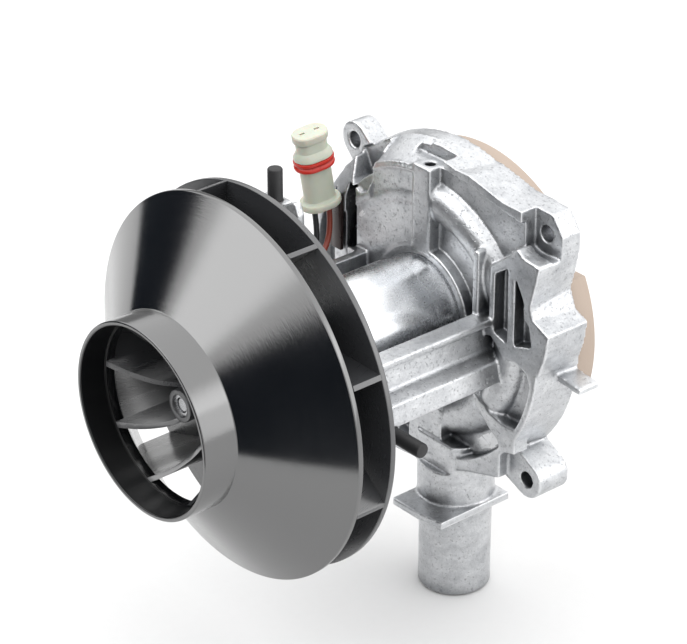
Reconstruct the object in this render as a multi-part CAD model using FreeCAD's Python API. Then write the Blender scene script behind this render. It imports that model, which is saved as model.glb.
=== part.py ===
import FreeCAD, Part
import math
import os

# Blower of a parking heater: one DC motor turns a large black hot-air wheel in front
# and a small side-channel wheel for combustion air in the die-cast housing behind.
# Frame: the motor axis is Y, +Y points to the burner, X is to the right, Z is up.
# The origin lies on the motor axis in the housing's rear face. All sizes are millimetres.

V = FreeCAD.Vector

# Hot-air wheel
wheel_radius = 62.0
wheel_front = -127.6
neck_outer_radius = 31.5
neck_wall = 1.5
neck_step = 0.6
neck_step_back = 9.1
neck_length = 11.8
shroud_wall = 1.6
shroud_rim_front = -95.3
plate_rear = -81.2
plate_thickness = 2.0
vane_count = 9
vane_thickness = 1.5
vane_tip_angle = 22.6
vane_hub_depth = 31.0
vane_bow = 3.0
wheel_hub_front = -112.9
wheel_hub_radius = 5.3
wheel_hub_root_radius = 7.5
wheel_hub_recess_radius = 3.5
wheel_hub_recess = 1.4
wheel_hub_tail = 3.4
clip_thickness = 0.5

# Radius share and angle ahead of the tip for points along a vane
vane_sweep = [(0.085, 47.9), (0.237, 47.4), (0.339, 42.2), (0.482, 28.3), (0.73, 9.0), (1.02, -0.6)]

# Shaft and motor
shaft_radius = 2.5
shaft_front = -111.6
shaft_rear = -2.9
shaft_chamfer = 0.5
running_clearance = 0.02
can_radius = 18.1
can_wall = 1.2
can_front = -74.5
can_rear = -12.0
flux_ring_wall = 0.8
flux_ring_front = -56.5
flux_ring_rear = -25.2
flux_ring_split = 1.6
flux_split_turn = 205.0
magnet_thickness = 3.9
magnet_angle = 132.0
air_gap = 0.5
core_front = -52.0
core_rear = -27.0
magnet_overhang = 3.0
slot_count = 8
slot_radius = 2.0
slot_mouth = 1.4
slot_circle = 8.4
coil_head_length = 4.0
coil_head_inner = 5.4
coil_head_outer = 11.2
commutator_radius = 5.6
commutator_front = -65.0
commutator_rear = -57.5
commutator_gap = 0.6
end_cap_thickness = 4.5
bearing_radius = 5.0
bearing_length = 5.0
end_cap_boss = 1.3
brush_width = 3.6
brush_height = 4.4
brush_length = 6.0
brush_travel = 2.0
brush_contact_gap = 0.05
brush_clearance = 0.1
holder_wall = 0.6
spring_wire_radius = 0.3
spring_turns = 3

# Housing
housing_radius = 54.6
housing_front = -16.8
rim_wall = 3.8
rim_draft = 1.4
lobe_front = -14.0
floor_front = -12.0
cover_thickness = 2.0
cover_radius = 48.5
wheel_chamber_radius = 43.6
wheel_chamber_front = -9.0
channel_circle = 37.2
channel_radius = 5.6
channel_wall = 1.8
channel_dent = 1.9
channel_gap_angle = 26.0
motor_boss_wall = 3.2
motor_boss_front = -16.4
ear_spacing_x = 89.1
ear_spacing_z = 85.0
ear_centre_x = 1.75
ear_centre_z = -1.5
ear_radius = 6.2
ear_hole_radius = 2.75
ear_length_top_left = 7.8
ear_length_top_right = 7.6
ear_length_bottom = 12.6

# Post, left block and lower duct on the housing's front
post_width = 7.9
post_bottom = 19.7
block_set_back = 0.8
post_right = 3.4
post_top = 49.4
post_depth = 7.8
post_hole_radius = 1.7
post_hole_depth = 6.0
gap_left = -10.0
gap_right = 7.0
gap_back = -8.6
crown_slope_start = 47.0
crown_rear = -6.0
crown_left = -23.6
block_left = -43.0
block_bottom = -2.0
slot_left = -37.0
slot_right = -32.0
slot_low = 2.0
slot_high = 31.0
notch_floor = -6.5

# Arms beside the motor and the cradle at their front
arm_inner = 26.5
arm_outer = 36.0
arm_top = 9.6
left_arm_top = 6.2
bracket_clear = -19.0
arm_bottom = -11.2
arm_front = -63.0
arm_web = 3.0
arm_lip = 2.2
arm_foot = 7.0
cradle_rear = -57.0
cradle_wall = 3.0
finger_left = -24.5
finger_right = -4.3
finger_top = 49.2
finger_shelf = 45.2
finger_plate = 2.6
stop_pin_radius = 2.4
stop_pin_grip = 8.0
upper_pin_x = -18.9
upper_pin_top = 55.6
lower_pin_z = -13.4
lower_pin_end = 50.0

# Hose spigot
spigot_x = 8.8
stop_plate_x = 10.5
spigot_y = -7.9
spigot_radius = 12.0
spigot_wall = 2.4
spigot_root_radius = 12.8
spigot_bottom = -100.8
duct_radius = 4.2
duct_y = -6.8
stop_plate_top = -66.0
stop_plate_thickness = 2.5
stop_plate_front = -28.0
stop_plate_rear = 3.0

# Side-channel wheel, cover and insulating disc
running_gap = 0.35
air_vane_count = 24
air_vane_thickness = 1.2
air_vane_depth = 3.4
air_wheel_web = 2.4
air_hub_radius = 8.0
cover_screw_circle = 46.1
cover_screw_count = 6
port_radius = 4.5
port_angle = -119.0
cover_screw_radius = 1.25
cover_screw_length = 7.0
disc_radius = 52.0
disc_offset_x = 1.3
disc_offset_z = -1.4
disc_thickness = 8.4
disc_bore_radius = 30.0
disc_notch_x = 31.0
disc_notch_high = 22.0
disc_notch_low = -12.0

# Connector and leads
plug_x = -39.7
plug_y = -24.6
plug_base_z = 24.6
plug_turn = 12.0
plug_tilt = 9.9
plug_long = 10.6
plug_wide = 7.4
plug_base_height = 2.2
plug_base_grow = 1.7
plug_body_height = 12.4
plug_seal_height = 3.6
plug_seal_grow = 1.6
plug_shoulder = 1.3
plug_top_height = 9.1
plug_collar_grow = 0.7
plug_collar_height = 3.0
pole_pitch = 5.2
terminal_radius = 0.8
lead_radius = 0.95
bracket_thickness = 1.2
bracket_width = 5.2
bracket_foot = 6.3
bracket_tongue = 4.0
bracket_tongue_rise = 4.0
bracket_side = 1.0
bracket_shelf = 3.6
lead_tail = 9.6
grommet_fit = 0.03


def cyl_y(radius, y0, y1, x=0.0, z=0.0):
    return Part.makeCylinder(radius, y1 - y0, V(x, y0, z), V(0, 1, 0))


def cyl_z(radius, z0, z1, x=0.0, y=0.0):
    return Part.makeCylinder(radius, z1 - z0, V(x, y, z0), V(0, 0, 1))


def cyl_x(radius, x0, x1, y=0.0, z=0.0):
    return Part.makeCylinder(radius, x1 - x0, V(x0, y, z), V(1, 0, 0))


def block(x0, x1, y0, y1, z0, z1):
    return Part.makeBox(x1 - x0, y1 - y0, z1 - z0, V(x0, y0, z0))


def tube_y(outer, inner, y0, y1):
    return cyl_y(outer, y0, y1).cut(cyl_y(inner, y0 - 1, y1 + 1))


def turned(points):
    """Solid of revolution about the motor axis from (radius, y) points."""
    corners = [V(r, y, 0) for r, y in points]
    face = Part.Face(Part.makePolygon(corners + corners[:1]))
    return face.revolve(V(0, 0, 0), V(0, 1, 0), 360)


def prism_y(points, y0, y1):
    """Extrusion along Y of an outline of (x, z) points."""
    corners = [V(x, y0, z) for x, z in points]
    face = Part.Face(Part.makePolygon(corners + corners[:1]))
    return face.extrude(V(0, y1 - y0, 0))


def around_y(shape, angle):
    copy = shape.copy()
    copy.rotate(V(0, 0, 0), V(0, 1, 0), angle)
    return copy


def polar(radius, degrees):
    """Place in the XZ plane, with the angle counted from +X towards +Z."""
    turn = math.radians(degrees)
    return radius * math.cos(turn), radius * math.sin(turn)


def joined(first, *others):
    return first.fuse(list(others)).removeSplitter()


parts = {}

# Hot-air wheel: the shroud is a neck and a cone with a thin wall
neck_inner_radius = neck_outer_radius - neck_wall
cone_start = wheel_front + neck_length
cone_rise = (shroud_rim_front - cone_start) / (wheel_radius - neck_outer_radius)
cone_wall = shroud_wall * math.hypot(1, cone_rise)
throat_radius = neck_inner_radius - neck_step
step_y = wheel_front + neck_step_back
plate_front = plate_rear - plate_thickness


def cone_outside(radius):
    return cone_start + (radius - neck_outer_radius) * cone_rise


def cone_inside(radius):
    return cone_outside(radius) + cone_wall


shroud = turned([
    (neck_inner_radius + 0.5, wheel_front),
    (neck_outer_radius - 0.4, wheel_front),
    (neck_outer_radius, wheel_front + 0.4),
    (neck_outer_radius, cone_start),
    (wheel_radius, shroud_rim_front),
    (wheel_radius, cone_inside(wheel_radius)),
    (throat_radius, cone_inside(throat_radius)),
    (throat_radius, step_y),
    (neck_inner_radius, step_y),
    (neck_inner_radius, wheel_front + 0.5),
])
parts["wheel_shroud"] = shroud

# The vanes stand on the back plate and are trimmed by the shroud's inner wall
hub_edge_y = wheel_front + vane_hub_depth
lead_mid_r = (throat_radius + wheel_hub_radius) / 2
lead_mid_y = (step_y + hub_edge_y) / 2 + vane_bow
lead_start = V(throat_radius, step_y, 0)
lead_end = V(wheel_hub_radius - 1, hub_edge_y, 0)
lead_arc = Part.Arc(lead_start, V(lead_mid_r, lead_mid_y, 0), lead_end).toShape()
vane_room_line = Part.makePolygon([
    lead_end,
    V(wheel_hub_radius - 1, plate_front + 1, 0),
    V(wheel_radius, plate_front + 1, 0),
    V(wheel_radius, cone_inside(wheel_radius), 0),
    V(throat_radius, cone_inside(throat_radius), 0),
    lead_start,
])
vane_room_wire = Part.Wire(Part.__sortEdges__([lead_arc] + vane_room_line.Edges))
vane_room = Part.Face(vane_room_wire).revolve(V(0, 0, 0), V(0, 1, 0), 360)


def vane_side(offset, y):
    """Curve along one side of a vane, at half its thickness from the middle line."""
    curve = []
    for share, angle in vane_sweep:
        x, z = polar(share * wheel_radius, vane_tip_angle + angle)
        curve.append(V(x, y, z))
    middle = Part.BSplineCurve()
    middle.interpolate(curve)
    side = []
    steps = 10
    for i in range(steps + 1):
        t = middle.FirstParameter + (middle.LastParameter - middle.FirstParameter) * i / steps
        along = middle.tangent(t)[0]
        side.append(middle.value(t) + V(-along.z, 0, along.x) * offset)
    edge = Part.BSplineCurve()
    edge.interpolate(side)
    return edge.toShape()


vane_start_y = wheel_front + 1
left_side = vane_side(vane_thickness / 2, vane_start_y)
right_side = vane_side(-vane_thickness / 2, vane_start_y)
root_line = Part.makeLine(left_side.Vertexes[0].Point, right_side.Vertexes[0].Point)
tip_line = Part.makeLine(left_side.Vertexes[-1].Point, right_side.Vertexes[-1].Point)
vane_wire = Part.Wire(Part.__sortEdges__([left_side, tip_line, right_side, root_line]))
one_vane = Part.Face(vane_wire).extrude(V(0, plate_rear - vane_start_y, 0)).common(vane_room)
vanes = [around_y(one_vane, 360.0 / vane_count * i) for i in range(vane_count)]
wheel_hub = turned([
    (0, wheel_hub_front),
    (wheel_hub_radius, wheel_hub_front),
    (wheel_hub_radius, hub_edge_y),
    (wheel_hub_root_radius, plate_front),
    (wheel_radius, plate_front),
    (wheel_radius, plate_rear),
    (wheel_hub_root_radius + 3, plate_rear),
    (wheel_hub_root_radius + 1, plate_rear + wheel_hub_tail),
    (0, plate_rear + wheel_hub_tail),
])
vane_wheel = joined(wheel_hub, *vanes)
vane_wheel = vane_wheel.cut(cyl_y(shaft_radius, wheel_front, 0))
vane_wheel = vane_wheel.cut(
    cyl_y(wheel_hub_recess_radius, wheel_hub_front - 1, wheel_hub_front + wheel_hub_recess))
parts["wheel_vanes"] = vane_wheel
clip_y = wheel_hub_front + wheel_hub_recess - clip_thickness
parts["hub_clip"] = tube_y(wheel_hub_recess_radius, shaft_radius, clip_y, clip_y + clip_thickness)

# Shaft with chamfered ends
parts["motor_shaft"] = turned([
    (0, shaft_front),
    (shaft_radius - shaft_chamfer, shaft_front),
    (shaft_radius, shaft_front + shaft_chamfer),
    (shaft_radius, shaft_rear - shaft_chamfer),
    (shaft_radius - shaft_chamfer, shaft_rear),
    (0, shaft_rear),
])

# Motor can: a cup that is open to the front, with a bearing seat in its floor
can_inner = can_radius - can_wall
can = cyl_y(can_radius, can_front, can_rear).cut(cyl_y(can_inner, can_front - 1, can_rear - can_wall))
rear_bearing_rear = can_rear - can_wall
rear_bearing_front = rear_bearing_rear - bearing_length
bearing_cup_wall = 1.0
cup = tube_y(bearing_radius + bearing_cup_wall, bearing_radius, rear_bearing_front, rear_bearing_rear)
can = joined(can, cup).cut(cyl_y(shaft_radius + 0.6, can_rear - 3, can_rear + 1))
flux_outer = can_radius + flux_ring_wall
flux_ring = tube_y(flux_outer, can_radius, flux_ring_front, flux_ring_rear)
split = block(-flux_ring_split / 2, flux_ring_split / 2, flux_ring_front - 1, flux_ring_rear + 1,
              can_radius - 2, flux_outer + 2)
parts["flux_ring"] = flux_ring.cut(around_y(split, flux_split_turn))

# Grommet window in the side of the can
grommet_y = can_front + end_cap_thickness + 3.0
grommet_z = 3.0
grommet_height = 5.6
grommet_width = 2.0
window = cyl_x(grommet_width + 0.6, -can_radius - 3, -can_inner + 3, grommet_y, grommet_z - 1.6)
window = joined(window, cyl_x(grommet_width + 0.6, -can_radius - 3, -can_inner + 3, grommet_y, grommet_z + 1.6))
parts["motor_can"] = can.cut(window)

# End cap with the front bearing seat
cap_rear = can_front + end_cap_thickness
end_cap = cyl_y(can_inner, can_front, cap_rear)
end_cap = joined(end_cap, cyl_y(bearing_radius + 2, can_front - end_cap_boss, cap_rear))
front_bearing_front = cap_rear - bearing_length
end_cap = end_cap.cut(cyl_y(bearing_radius, front_bearing_front, cap_rear + 1))
end_cap = end_cap.cut(cyl_y(shaft_radius + 0.6, can_front - 3, cap_rear))
parts["motor_end_cap"] = end_cap


def bush(y0):
    return tube_y(bearing_radius, shaft_radius + running_clearance, y0, y0 + bearing_length)


parts["front_bearing"] = bush(front_bearing_front)
parts["rear_bearing"] = bush(rear_bearing_front)

# Two arc magnets, one each side, glued into the can
magnet_inner = can_inner - magnet_thickness
magnet_tube = tube_y(can_inner, magnet_inner, core_front - magnet_overhang, core_rear + magnet_overhang)
reach = can_radius * 3
half = math.radians(magnet_angle / 2)
wedge = prism_y([
    (0, 0),
    (reach * math.cos(half), -reach * math.sin(half)),
    (reach * 2, 0),
    (reach * math.cos(half), reach * math.sin(half)),
], can_front, can_rear)
right_magnet = magnet_tube.common(wedge)
parts["field_magnets"] = Part.makeCompound([right_magnet, around_y(right_magnet, 180)])

# Armature: slotted core, coils in the slots with a head at each end
core_radius = magnet_inner - air_gap
slot_bars = []
mouths = []
for i in range(slot_count):
    bar = cyl_y(slot_radius, core_front, core_rear, slot_circle, 0)
    mouth = block(slot_circle, core_radius + 1, core_front - 1, core_rear + 1, -slot_mouth / 2, slot_mouth / 2)
    slot_bars.append(around_y(bar, 360.0 / slot_count * i))
    mouths.append(around_y(mouth, 360.0 / slot_count * i))
core = tube_y(core_radius, shaft_radius, core_front, core_rear)
core = core.cut(slot_bars + mouths)
parts["armature_core"] = core
bars = slot_bars[0].cut(mouths[0])
coil_bars = [around_y(bars, 360.0 / slot_count * i) for i in range(slot_count)]
front_head = tube_y(coil_head_outer, coil_head_inner, core_front - coil_head_length, core_front)
rear_head = tube_y(coil_head_outer, coil_head_inner, core_rear, core_rear + coil_head_length)
front_head = front_head.makeFillet(1.6, [e for e in front_head.Edges if abs(e.BoundBox.YMax - core_front) > 1
                                         and e.BoundBox.YLength < 0.01])
rear_head = rear_head.makeFillet(1.6, [e for e in rear_head.Edges if abs(e.BoundBox.YMin - core_rear) > 1
                                       and e.BoundBox.YLength < 0.01])
parts["armature_windings"] = joined(front_head, rear_head, *coil_bars)

# Commutator: copper bars on an insulating sleeve
commutator_sleeve = tube_y(commutator_radius - 1.2, shaft_radius, commutator_front, core_front)
commutator_ring = tube_y(commutator_radius, commutator_radius - 1.2, commutator_front, commutator_rear)
gaps = []
for i in range(slot_count):
    gap = block(0, commutator_radius + 1, commutator_front - 1, commutator_rear + 1,
                -commutator_gap / 2, commutator_gap / 2)
    gap = gap.cut(cyl_y(commutator_radius - 1.2, commutator_front - 2, commutator_rear + 2))
    gaps.append(around_y(gap, 360.0 / slot_count * (i + 0.5)))
parts["commutator_bars"] = commutator_ring.cut(gaps)
parts["commutator_sleeve"] = commutator_sleeve

# Brushes slide in brass boxes, and a coil spring presses each on the commutator
brush_y = (commutator_front + commutator_rear) / 2
brush_in = commutator_radius + brush_contact_gap
brush_out = brush_in + brush_length
box_in = brush_in + 1.0
box_out = can_inner - 0.5


def brush():
    return block(brush_in, brush_out, brush_y - brush_width / 2, brush_y + brush_width / 2,
                 -brush_height / 2, brush_height / 2)


def brush_box():
    half_w = brush_width / 2 + brush_clearance
    half_h = brush_height / 2 + brush_clearance
    outside = block(box_in, box_out, brush_y - half_w - holder_wall, brush_y + half_w + holder_wall,
                    -half_h - holder_wall, half_h + holder_wall)
    inside = block(box_in - 1, box_out - holder_wall, brush_y - half_w, brush_y + half_w, -half_h, half_h)
    foot_front = cap_rear
    foot = block(box_in + 2, box_out, foot_front, brush_y - half_w, -half_h, half_h)
    return joined(outside, foot).cut(inside)


def brush_spring():
    room = box_out - holder_wall - brush_out - 2 * spring_wire_radius
    pitch = room / spring_turns
    coil_radius = brush_width / 2 - spring_wire_radius
    helix = Part.makeHelix(pitch, room, coil_radius)
    section = Part.Wire(Part.makeCircle(spring_wire_radius, V(coil_radius, 0, 0), V(0, 1, 0)))
    coil = Part.Wire(helix.Edges).makePipeShell([section], True, True)
    coil.rotate(V(0, 0, 0), V(0, 1, 0), 90)
    coil.translate(V(brush_out + spring_wire_radius, brush_y, 0))
    return coil


parts["right_brush"] = brush()
parts["left_brush"] = around_y(brush(), 180)
parts["right_brush_holder"] = brush_box()
parts["left_brush_holder"] = around_y(brush_box(), 180)
parts["right_brush_spring"] = brush_spring()
parts["left_brush_spring"] = around_y(brush_spring(), 180)

# Housing: a round body with draft, four ears and a stepped right side
edge = housing_radius
body = turned([
    (0, housing_front), (edge - rim_draft, housing_front), (edge, -cover_thickness), (edge, 0), (0, 0),
])
right_side = prism_y([
    (0, 30), (edge - 42, edge - 2.6), (edge - 36, edge - 2.4), (edge - 22, edge - 5.6), (edge - 6, edge - 6.4),
    (edge - 1.4, 42), (edge - 1.6, 34.8), (edge - 2.6, 29.4), (edge - 4.9, 20.3), (edge - 4.3, 16.6),
    (edge + 3.2, 13.2), (edge + 2.2, 5.6), (edge - 0.3, -2), (0, -2),
], housing_front, 0)
lower_side = prism_y([
    (-26, -40), (-24, -49), (-14, -57.2), (0, -56), (20, -51.2), (38, -45.6), (38, -36),
], housing_front, 0)
ear_right = ear_centre_x + ear_spacing_x / 2
ear_left = ear_centre_x - ear_spacing_x / 2
ear_high = ear_centre_z + ear_spacing_z / 2
ear_low = ear_centre_z - ear_spacing_z / 2
ear_places = [
    (ear_left, ear_high, ear_length_top_left),
    (ear_right, ear_high, ear_length_top_right),
    (ear_right, ear_low, ear_length_bottom),
    (ear_left, ear_low, ear_length_bottom),
]
ear_root_share = 0.72
ear_roots = [
    (ear_left * ear_root_share, ear_high * ear_root_share),
    (ear_right * ear_root_share, ear_high * ear_root_share),
    (ear_right * ear_root_share, ear_low * 0.86),
    (ear_left * ear_root_share, ear_low * 0.86),
]


def ear(place, root):
    """Boss at the ear and the web that joins it to the round body."""
    x, z, length = place
    size = math.hypot(x - root[0], z - root[1])
    across_x = -(z - root[1]) / size * ear_radius
    across_z = (x - root[0]) / size * ear_radius
    web = prism_y([
        (x + across_x, z + across_z),
        (x - across_x, z - across_z),
        (root[0] - across_x * 1.1, root[1] - across_z * 1.1),
        (root[0] + across_x * 1.1, root[1] + across_z * 1.1),
    ], -length, 0)
    return joined(cyl_y(ear_radius, -length, 0, x, z), web)


body = joined(body, right_side, lower_side, *[ear(place, root) for place, root in zip(ear_places, ear_roots)])

# Recess between the rim and the middle. Its upper right corner runs up to the ear's pocket.
recess_radius = housing_radius - rim_wall
recess = cyl_y(recess_radius, housing_front - 1, floor_front)
pocket_wall = ear_right - 4.7
lobe = prism_y([
    (20, 38), (12, recess_radius - 1.2), (18, recess_radius - 1.6), (31.5, 46.2),
    (pocket_wall, 44.6), (pocket_wall, 36), (34, 32),
], housing_front - 1, floor_front)
lobe_step = prism_y([
    (post_right, 40), (post_right, 70), (70, 70), (70, 36.5), (48, 36.5), (44, 38), (38, 30),
], housing_front - 1, lobe_front).cut(cyl_y(crown_slope_start, housing_front - 2, lobe_front + 1))
ear_pocket = cyl_y(ear_radius + 0.8, housing_front - 1, -ear_length_top_right, ear_right, ear_high)
ear_pocket = ear_pocket.common(block(pocket_wall, 80, housing_front - 2, 0, 0, 80))
pocket_mouth = block(pocket_wall, 80, housing_front - 1, -ear_length_top_right, ear_high - 2, 80)
pocket_side = prism_y([
    (ear_right, ear_high - ear_radius - 0.8), (80, ear_high - ear_radius + 1), (80, 80), (ear_right, 80),
], housing_front - 1, -ear_length_top_right)
body = body.cut([recess, lobe, lobe_step, ear_pocket, pocket_mouth, pocket_side])

# Side channel: half a ring tube on the front of the floor
channel_outside = Part.makeTorus(channel_circle, channel_radius + channel_wall, V(0, wheel_chamber_front, 0),
                                 V(0, 1, 0))
channel_outside = channel_outside.cut(cyl_y(wheel_radius, wheel_chamber_front, wheel_chamber_front + 20))
motor_boss = cyl_y(can_radius + motor_boss_wall, motor_boss_front, floor_front + 1)

# Left block with the post at its right end, and its slot, notch and post hole
block_arc = [polar(48.5, angle) for angle in (97, 104, 111, 118, 125)] + [polar(47.5, 132)]
left_block = prism_y([
    (post_right, 10), (post_right, post_top), (post_right - post_width, post_top),
] + block_arc + [
    (block_left, 33), (block_left, block_bottom), (-14, block_bottom),
], housing_front + block_set_back, floor_front + 1)
crown_sector = prism_y([
    (crown_left, 30), (crown_left, 70), (post_right - post_width, 70), (post_right - post_width, 30),
], housing_front - 2, 0)
crown = turned([
    (crown_slope_start - 0.8, housing_front),
    (crown_slope_start, housing_front),
    (housing_radius, crown_rear),
    (crown_slope_start - 0.8, crown_rear),
]).common(crown_sector)
crown_clear = turned([
    (crown_slope_start, housing_front - 2),
    (crown_slope_start, housing_front),
    (housing_radius, crown_rear),
    (housing_radius + 20, crown_rear),
    (housing_radius + 20, housing_front - 2),
]).common(crown_sector)
body = body.cut(crown_clear)

# Ramp from the left block up and back to the upper left ear
ramp_front = prism_y([(block_left, 16), (block_left, 33), (-30, 44), (crown_left - 1, 47.6), (crown_left - 1, 30)],
                     housing_front, floor_front + 4)
ramp_over = Part.Face(Part.makePolygon([
    V(-62, -ear_length_top_left, 24), V(-30, -ear_length_top_left, 53),
    V(-22, housing_front, 41), V(-54, housing_front, 12), V(-62, -ear_length_top_left, 24),
])).extrude(V(0, housing_front * 2, 0))
post = block(post_right - post_width, post_right, housing_front, floor_front + 1, post_bottom, post_top)
slot = block(slot_left + 1, slot_right, housing_front - 1, floor_front + 2, slot_low, slot_high)
slot = joined(slot, prism_y([(slot_left, slot_low + 6), (slot_left + 2, slot_low),
                             (slot_left + 2, slot_high), (slot_left, slot_high - 6)],
                            housing_front - 1, floor_front + 2))
notch_outline = [(-38.5, 40), (-34.3, 31.8), (-29.5, 29.6), (-26.5, 31), (-24.2, 36), (-23.8, 48.5)]
notch = prism_y(notch_outline, housing_front - 1, notch_floor).cut(cyl_y(45.4, housing_front - 2, 0))
notch = joined(notch, prism_y(notch_outline, housing_front - 1, housing_front + 1.8))
rim_gap = block(gap_left, gap_right, housing_front - 1, gap_back, post_top, 70)
post_x = post_right - post_width / 2
post_hole = cyl_z(post_hole_radius, post_top - post_hole_depth, post_top + 1, post_x,
                  housing_front + post_depth / 2)

# Cells at the right of the motor: a raised land with two pockets, and a free rib beside it
land_front = housing_front
cells = prism_y([
    (31.4, 4.3), (31.4, 27.4), (37.4, 32.5), (40.4, 34.7), (43.2, 37.6), (edge - 8.9, 35.6), (edge - 2, 34.8),
    (edge - 2.8, 29.4), (edge - 5.1, 20.3), (edge - 4.5, 16.6), (edge + 1.8, 13), (edge + 0.8, 5.6),
    (edge - 1.6, -2.8), (edge - 3.8, -8.5), (48.7, -3.4), (44, -1.4), (38.3, -2.2),
], land_front, floor_front + 1)
left_cell = [(33.6, 5.2), (33.6, 25.4), (39.4, 29.4), (39.6, 3.4)]
right_cell = [
    (42.6, 3.8), (42.4, 30.8), (44.1, 32.2), (44.3, 29.4), (48.2, 27.2), (48.4, 24.6), (46.4, 18.7),
    (47.0, 15.1), (49.8, 12.6), (53.2, 11.2), (53.6, 7.4), (46.0, 5.0),
]
cell_pockets = [prism_y(left_cell, land_front - 1, floor_front), prism_y(right_cell, land_front - 1, floor_front)]
deep_cell = prism_y(right_cell, floor_front - 1, -7.0).cut(cyl_y(wheel_chamber_radius + 2.6, -20, 0))
rib_front = land_front - 1.8
free_rib = joined(block(25.9, 28.3, rib_front, floor_front + 1, 3.0, 30.2),
                  cyl_y(1.2, rib_front, floor_front + 1, 27.1, 30.2))
rib_web = block(22.0, 31.6, land_front, floor_front + 1, 3.0, 5.4)

# Raised land at the lower right, between the channel's end and the duct box
low_land = prism_y([
    (28.5, -21.1), (33.2, -23.8), (38.6, -25.4), (edge - 10, -25.0), (edge - 10, -34), (38, -36),
    (36.6, -32.0), (32.7, -29.6), (28.7, -25.9), (25, -22), (25, -18),
], land_front, floor_front + 1)

# Lower duct box above the spigot, and the spigot with its stop plate
duct_box = prism_y([(-5, -56), (-5, -31), (10.5, -33), (10.5, -56)], housing_front, floor_front + 1)
spigot = joined(
    cyl_z(spigot_radius, spigot_bottom, stop_plate_top, spigot_x, spigot_y),
    cyl_z(spigot_root_radius, stop_plate_top - stop_plate_thickness, -54, spigot_x, spigot_y),
)
spigot_neck = cyl_z(spigot_root_radius, -58, -44, spigot_x, spigot_y)
spigot_neck = spigot_neck.common(block(-30, 40, housing_front - 1, 0, -60, -40))
stop_plate = Part.Face(Part.makePolygon([
    V(stop_plate_x - 10, stop_plate_front - 0.4, stop_plate_top - stop_plate_thickness),
    V(stop_plate_x + 2, stop_plate_front - 0.2, stop_plate_top - stop_plate_thickness),
    V(stop_plate_x + spigot_radius, stop_plate_front + 1.4, stop_plate_top - stop_plate_thickness),
    V(stop_plate_x + spigot_radius, stop_plate_rear, stop_plate_top - stop_plate_thickness),
    V(stop_plate_x - 10, stop_plate_rear, stop_plate_top - stop_plate_thickness),
    V(stop_plate_x - 10, stop_plate_front - 0.4, stop_plate_top - stop_plate_thickness),
])).extrude(V(0, 0, stop_plate_thickness))

# Arms beside the motor: a channel section that opens outwards
arm_points = [
    (arm_inner, arm_bottom), (arm_outer + 1.4, arm_bottom), (arm_outer, arm_bottom + arm_foot),
    (arm_inner + arm_web + 1.5, arm_bottom + arm_foot + 2.2), (arm_inner + arm_web, arm_top - arm_lip - 2.2),
    (arm_outer - 2.6, arm_top - arm_lip), (arm_outer - 2.6, arm_top), (arm_inner, arm_top),
]
right_arm = prism_y(arm_points, arm_front, floor_front + 1)
left_arm = prism_y([(-x, z) for x, z in arm_points], arm_front, floor_front + 1)
left_arm = left_arm.cut(block(-arm_outer - 5, -arm_inner - arm_web, arm_front - 1, bracket_clear, left_arm_top, arm_top + 1))
cradle_inner = can_radius + 0.1
cradle = cyl_y(cradle_inner + cradle_wall, arm_front, cradle_rear)
cradle = joined(cradle, block(-arm_inner - 1, arm_inner + 1, arm_front, cradle_rear, arm_bottom + 2, arm_top - 2))
finger = block(finger_left, upper_pin_x + stop_pin_radius + 2.4, arm_front, cradle_rear, 14, finger_shelf)
finger = joined(finger, prism_y([
    (finger_left, 14), (finger_left, finger_shelf), (finger_right - 9, finger_shelf), (finger_right - 5.5, finger_top - 1.6),
    (finger_right - 1.8, finger_top), (finger_right, finger_top - 4), (finger_right + 1.5, 14),
], arm_front, arm_front + finger_plate))
pin_y = (arm_front + cradle_rear) / 2
pin_lug = block(arm_inner, arm_outer, arm_front, cradle_rear, lower_pin_z - stop_pin_radius - 2, arm_bottom + 1)
lower_pin_start = arm_outer - stop_pin_grip

ear_tab = block(housing_radius - rim_wall, housing_radius + 9.8, -8.5, -0.5, -1.1, 1.1)
ear_tab = around_y(ear_tab, 5.6)

left_block = joined(left_block, ramp_front).cut(ramp_over)
body = body.cut(ramp_over)
channel_outside = channel_outside.cut(cell_pockets)
housing = joined(body, channel_outside, motor_boss, left_block, crown, post, duct_box, spigot, spigot_neck,
                 stop_plate, right_arm, left_arm, cradle, finger, pin_lug, ear_tab,
                 cells.cut(cell_pockets), free_rib, rib_web, low_land)
housing = housing.cut([slot, notch, rim_gap, post_hole, deep_cell])

# Inside of the housing: wheel chamber, side channel, cover seat, motor bore and duct
channel_inside = Part.makeTorus(channel_circle, channel_radius, V(0, wheel_chamber_front, 0), V(0, 1, 0))
half_gap = math.radians(channel_gap_angle / 2)
dent = prism_y([(31.4, 3.0), (31.4, 28.0), (41.6, 33.0), (41.6, 1.2)], -30, floor_front + channel_dent)
channel_inside = channel_inside.cut(dent)
bridge = prism_y([
    (0, 0), (-90 * math.sin(half_gap), -90 * math.cos(half_gap)), (0, -100),
    (90 * math.sin(half_gap) * 0.2, -90 * math.cos(half_gap)),
], housing_front - 5, wheel_chamber_front)
channel_inside = channel_inside.cut(bridge)
chamber = cyl_y(wheel_chamber_radius, wheel_chamber_front, 1)
cover_seat = cyl_y(cover_radius, -cover_thickness, 1)
can_bore = cyl_y(can_radius, can_front, can_rear)
shaft_hole = cyl_y(shaft_radius + 0.6, can_rear - 1, wheel_chamber_front + 1)
cradle_bore = cyl_y(cradle_inner, arm_front - 1, cradle_rear + 1)
spigot_bore = cyl_z(spigot_radius - spigot_wall, spigot_bottom - 1, -60, spigot_x, spigot_y)
duct = cyl_z(duct_radius, -61, -40, spigot_x, duct_y)
housing = housing.cut([channel_inside, chamber, cover_seat, can_bore, shaft_hole, cradle_bore, spigot_bore, duct])
ear_holes = [cyl_y(ear_hole_radius, -20, 10, x, z) for x, z, length in ear_places]
screw_holes = []
screws = []
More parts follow.
